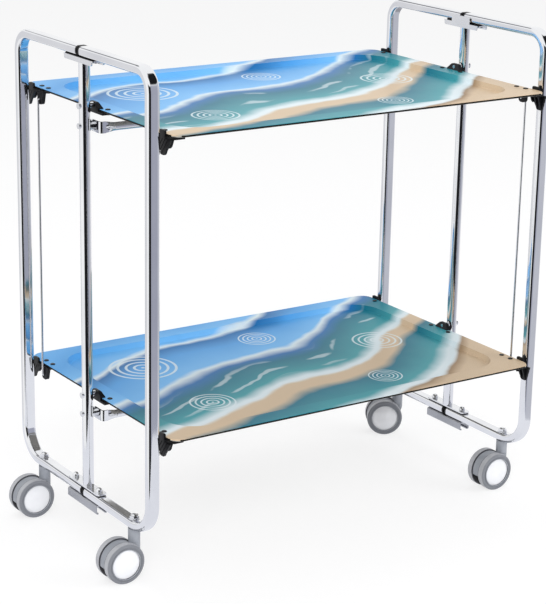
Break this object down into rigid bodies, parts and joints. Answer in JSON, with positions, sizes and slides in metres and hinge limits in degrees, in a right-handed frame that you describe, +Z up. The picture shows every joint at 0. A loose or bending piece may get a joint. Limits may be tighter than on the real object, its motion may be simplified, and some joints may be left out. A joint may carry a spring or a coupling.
{
  "type": "folding kitchen cart",
  "caption": "Folding serving cart with tilting recessed trays, flat-oval chromed end loops hinged at centre posts, link rods and twin-wheel castors.",
  "frame": {"origin": "on the floor at the middle between the four legs, at the point half way between the two centre posts", "axes": "+Z up, +X to the right along the trays' length, +Y to the rear; the front is -Y"},
  "size_m": [0.682, 0.4, 0.68],
  "materials": {
    "chrome_tube": "bright chrome plate on steel tube",
    "plated_steel": "bright plate on pressed steel",
    "steel_wire": "bright drawn wire",
    "black_plastic": "satin black moulding",
    "printed_tray": "glossy moulded tray with a printed face in sea and sand colours",
    "castor_grey": "satin grey moulding",
    "wheel_grey": "smooth grey tread",
    "cap_white": "glossy white dome"
  },
  "bodies": {
    "centre_frame": {"bottom_hinge_channel_left": "plated_steel", "bottom_hinge_channel_right": "plated_steel", "bottom_hinge_plate_left": "plated_steel", "bottom_hinge_plate_right": "plated_steel", "crossbar_lower": "chrome_tube", "crossbar_screws": "plated_steel", "crossbar_spacers": "black_plastic", "crossbar_upper": "chrome_tube", "hinge_pins": "plated_steel", "hinge_shims": "black_plastic", "post_left": "chrome_tube", "post_right": "chrome_tube", "top_hinge_bracket_left": "plated_steel", "top_hinge_bracket_right": "plated_steel", "tray_pivot_pins": "plated_steel"},
    "upper_tray": {"upper_tray_corner_blocks": "black_plastic", "upper_tray_panel": "printed_tray", "upper_tray_pivot_blocks": "black_plastic", "upper_tray_rivets": "black_plastic", "upper_tray_rod_brackets": "black_plastic"},
    "lower_tray": {"lower_tray_corner_blocks": "black_plastic", "lower_tray_panel": "printed_tray", "lower_tray_pivot_blocks": "black_plastic", "lower_tray_rivets": "black_plastic", "lower_tray_rod_brackets": "black_plastic"},
    "rear_left_link": {"rear_left_link_rod": "steel_wire"},
    "front_right_link": {"front_right_link_rod": "steel_wire"},
    "front_left_half_frame": {"front_left_frame_tube": "chrome_tube", "front_left_end_plugs": "black_plastic", "front_left_castor_fixing": "plated_steel"},
    "front_left_castor": {"front_left_castor_housing": "castor_grey"},
    "front_left_castor_front_wheel": {"front_left_castor_wheel_front": "wheel_grey", "front_left_castor_cap_front": "cap_white"},
    "front_left_castor_rear_wheel": {"front_left_castor_wheel_rear": "wheel_grey", "front_left_castor_cap_rear": "cap_white"},
    "rear_left_half_frame": {"rear_left_frame_tube": "chrome_tube", "rear_left_end_plugs": "black_plastic", "rear_left_castor_fixing": "plated_steel"},
    "rear_left_castor": {"rear_left_castor_housing": "castor_grey"},
    "rear_left_castor_front_wheel": {"rear_left_castor_wheel_front": "wheel_grey", "rear_left_castor_cap_front": "cap_white"},
    "rear_left_castor_rear_wheel": {"rear_left_castor_wheel_rear": "wheel_grey", "rear_left_castor_cap_rear": "cap_white"},
    "front_right_half_frame": {"front_right_frame_tube": "chrome_tube", "front_right_end_plugs": "black_plastic", "front_right_castor_fixing": "plated_steel"},
    "front_right_castor": {"front_right_castor_housing": "castor_grey"},
    "front_right_castor_front_wheel": {"front_right_castor_wheel_front": "wheel_grey", "front_right_castor_cap_front": "cap_white"},
    "front_right_castor_rear_wheel": {"front_right_castor_wheel_rear": "wheel_grey", "front_right_castor_cap_rear": "cap_white"},
    "rear_right_half_frame": {"rear_right_frame_tube": "chrome_tube", "rear_right_end_plugs": "black_plastic", "rear_right_castor_fixing": "plated_steel"},
    "rear_right_castor": {"rear_right_castor_housing": "castor_grey"},
    "rear_right_castor_front_wheel": {"rear_right_castor_wheel_front": "wheel_grey", "rear_right_castor_cap_front": "cap_white"},
    "rear_right_castor_rear_wheel": {"rear_right_castor_wheel_rear": "wheel_grey", "rear_right_castor_cap_rear": "cap_white"}
  },
  "joints": [
    {"name": "tray_tilt", "type": "hinge", "parent": "centre_frame", "child": "upper_tray", "pos_m": [0, 0, 0.603], "axis": [-1, 0, 0], "range_deg": [0, 78]},
    {"name": "lower_tray_tilt", "type": "hinge", "parent": "centre_frame", "child": "lower_tray", "pos_m": [0, 0, 0.213], "axis": [-1, 0, 0], "range_deg": [0, 78]},
    {"name": "rear_left_link_pivot", "type": "hinge", "parent": "upper_tray", "child": "rear_left_link", "pos_m": [-0.2985, 0.15, 0.584], "axis": [-1, 0, 0], "range_deg": [-78, 0]},
    {"name": "front_right_link_pivot", "type": "hinge", "parent": "upper_tray", "child": "front_right_link", "pos_m": [0.2985, -0.15, 0.584], "axis": [-1, 0, 0], "range_deg": [-78, 0]},
    {"name": "front_left_fold", "type": "hinge", "parent": "centre_frame", "child": "front_left_half_frame", "pos_m": [-0.31, -0.033, 0.3745], "axis": [0, 0, 1], "range_deg": [0, 90]},
    {"name": "front_left_castor_swivel", "type": "hinge", "parent": "front_left_half_frame", "child": "front_left_castor", "pos_m": [-0.31, -0.127, 0.057], "axis": [0, 0, 1], "continuous": true},
    {"name": "front_left_castor_front_wheel_roll", "type": "hinge", "parent": "front_left_castor", "child": "front_left_castor_front_wheel", "pos_m": [-0.331, -0.139, 0.0275], "axis": [0, 1, 0], "continuous": true},
    {"name": "front_left_castor_rear_wheel_roll", "type": "hinge", "parent": "front_left_castor", "child": "front_left_castor_rear_wheel", "pos_m": [-0.331, -0.115, 0.0275], "axis": [0, 1, 0], "continuous": true},
    {"name": "rear_left_fold", "type": "hinge", "parent": "centre_frame", "child": "rear_left_half_frame", "pos_m": [-0.31, 0.033, 0.3745], "axis": [0, 0, -1], "range_deg": [0, 90]},
    {"name": "rear_left_castor_swivel", "type": "hinge", "parent": "rear_left_half_frame", "child": "rear_left_castor", "pos_m": [-0.31, 0.127, 0.057], "axis": [0, 0, 1], "continuous": true},
    {"name": "rear_left_castor_front_wheel_roll", "type": "hinge", "parent": "rear_left_castor", "child": "rear_left_castor_front_wheel", "pos_m": [-0.331, 0.115, 0.0275], "axis": [0, 1, 0], "continuous": true},
    {"name": "rear_left_castor_rear_wheel_roll", "type": "hinge", "parent": "rear_left_castor", "child": "rear_left_castor_rear_wheel", "pos_m": [-0.331, 0.139, 0.0275], "axis": [0, 1, 0], "continuous": true},
    {"name": "front_right_fold", "type": "hinge", "parent": "centre_frame", "child": "front_right_half_frame", "pos_m": [0.31, -0.033, 0.3745], "axis": [0, 0, -1], "range_deg": [0, 90]},
    {"name": "front_right_castor_swivel", "type": "hinge", "parent": "front_right_half_frame", "child": "front_right_castor", "pos_m": [0.31, -0.127, 0.057], "axis": [0, 0, 1], "continuous": true},
    {"name": "front_right_castor_front_wheel_roll", "type": "hinge", "parent": "front_right_castor", "child": "front_right_castor_front_wheel", "pos_m": [0.289, -0.139, 0.0275], "axis": [0, 1, 0], "continuous": true},
    {"name": "front_right_castor_rear_wheel_roll", "type": "hinge", "parent": "front_right_castor", "child": "front_right_castor_rear_wheel", "pos_m": [0.289, -0.115, 0.0275], "axis": [0, 1, 0], "continuous": true},
    {"name": "rear_right_fold", "type": "hinge", "parent": "centre_frame", "child": "rear_right_half_frame", "pos_m": [0.31, 0.033, 0.3745], "axis": [0, 0, 1], "range_deg": [0, 90]},
    {"name": "rear_right_castor_swivel", "type": "hinge", "parent": "rear_right_half_frame", "child": "rear_right_castor", "pos_m": [0.31, 0.127, 0.057], "axis": [0, 0, 1], "continuous": true},
    {"name": "rear_right_castor_front_wheel_roll", "type": "hinge", "parent": "rear_right_castor", "child": "rear_right_castor_front_wheel", "pos_m": [0.28581, 0.12711, 0.0275], "axis": [0.5, 0.866, 0], "continuous": true},
    {"name": "rear_right_castor_rear_wheel_roll", "type": "hinge", "parent": "rear_right_castor", "child": "rear_right_castor_rear_wheel", "pos_m": [0.29781, 0.14789, 0.0275], "axis": [0.5, 0.866, 0], "continuous": true}
  ],
  "couplings": [
    {"joint": "lower_tray_tilt", "follows": "tray_tilt", "ratio": 1},
    {"joint": "rear_left_link_pivot", "follows": "tray_tilt", "ratio": -1},
    {"joint": "front_right_link_pivot", "follows": "tray_tilt", "ratio": -1},
    {"joint": "front_left_fold", "follows": "tray_tilt", "ratio": 0.008},
    {"joint": "rear_left_fold", "follows": "tray_tilt", "ratio": 0.008},
    {"joint": "front_right_fold", "follows": "tray_tilt", "ratio": 0.008},
    {"joint": "rear_right_fold", "follows": "tray_tilt", "ratio": 0.008}
  ]
}
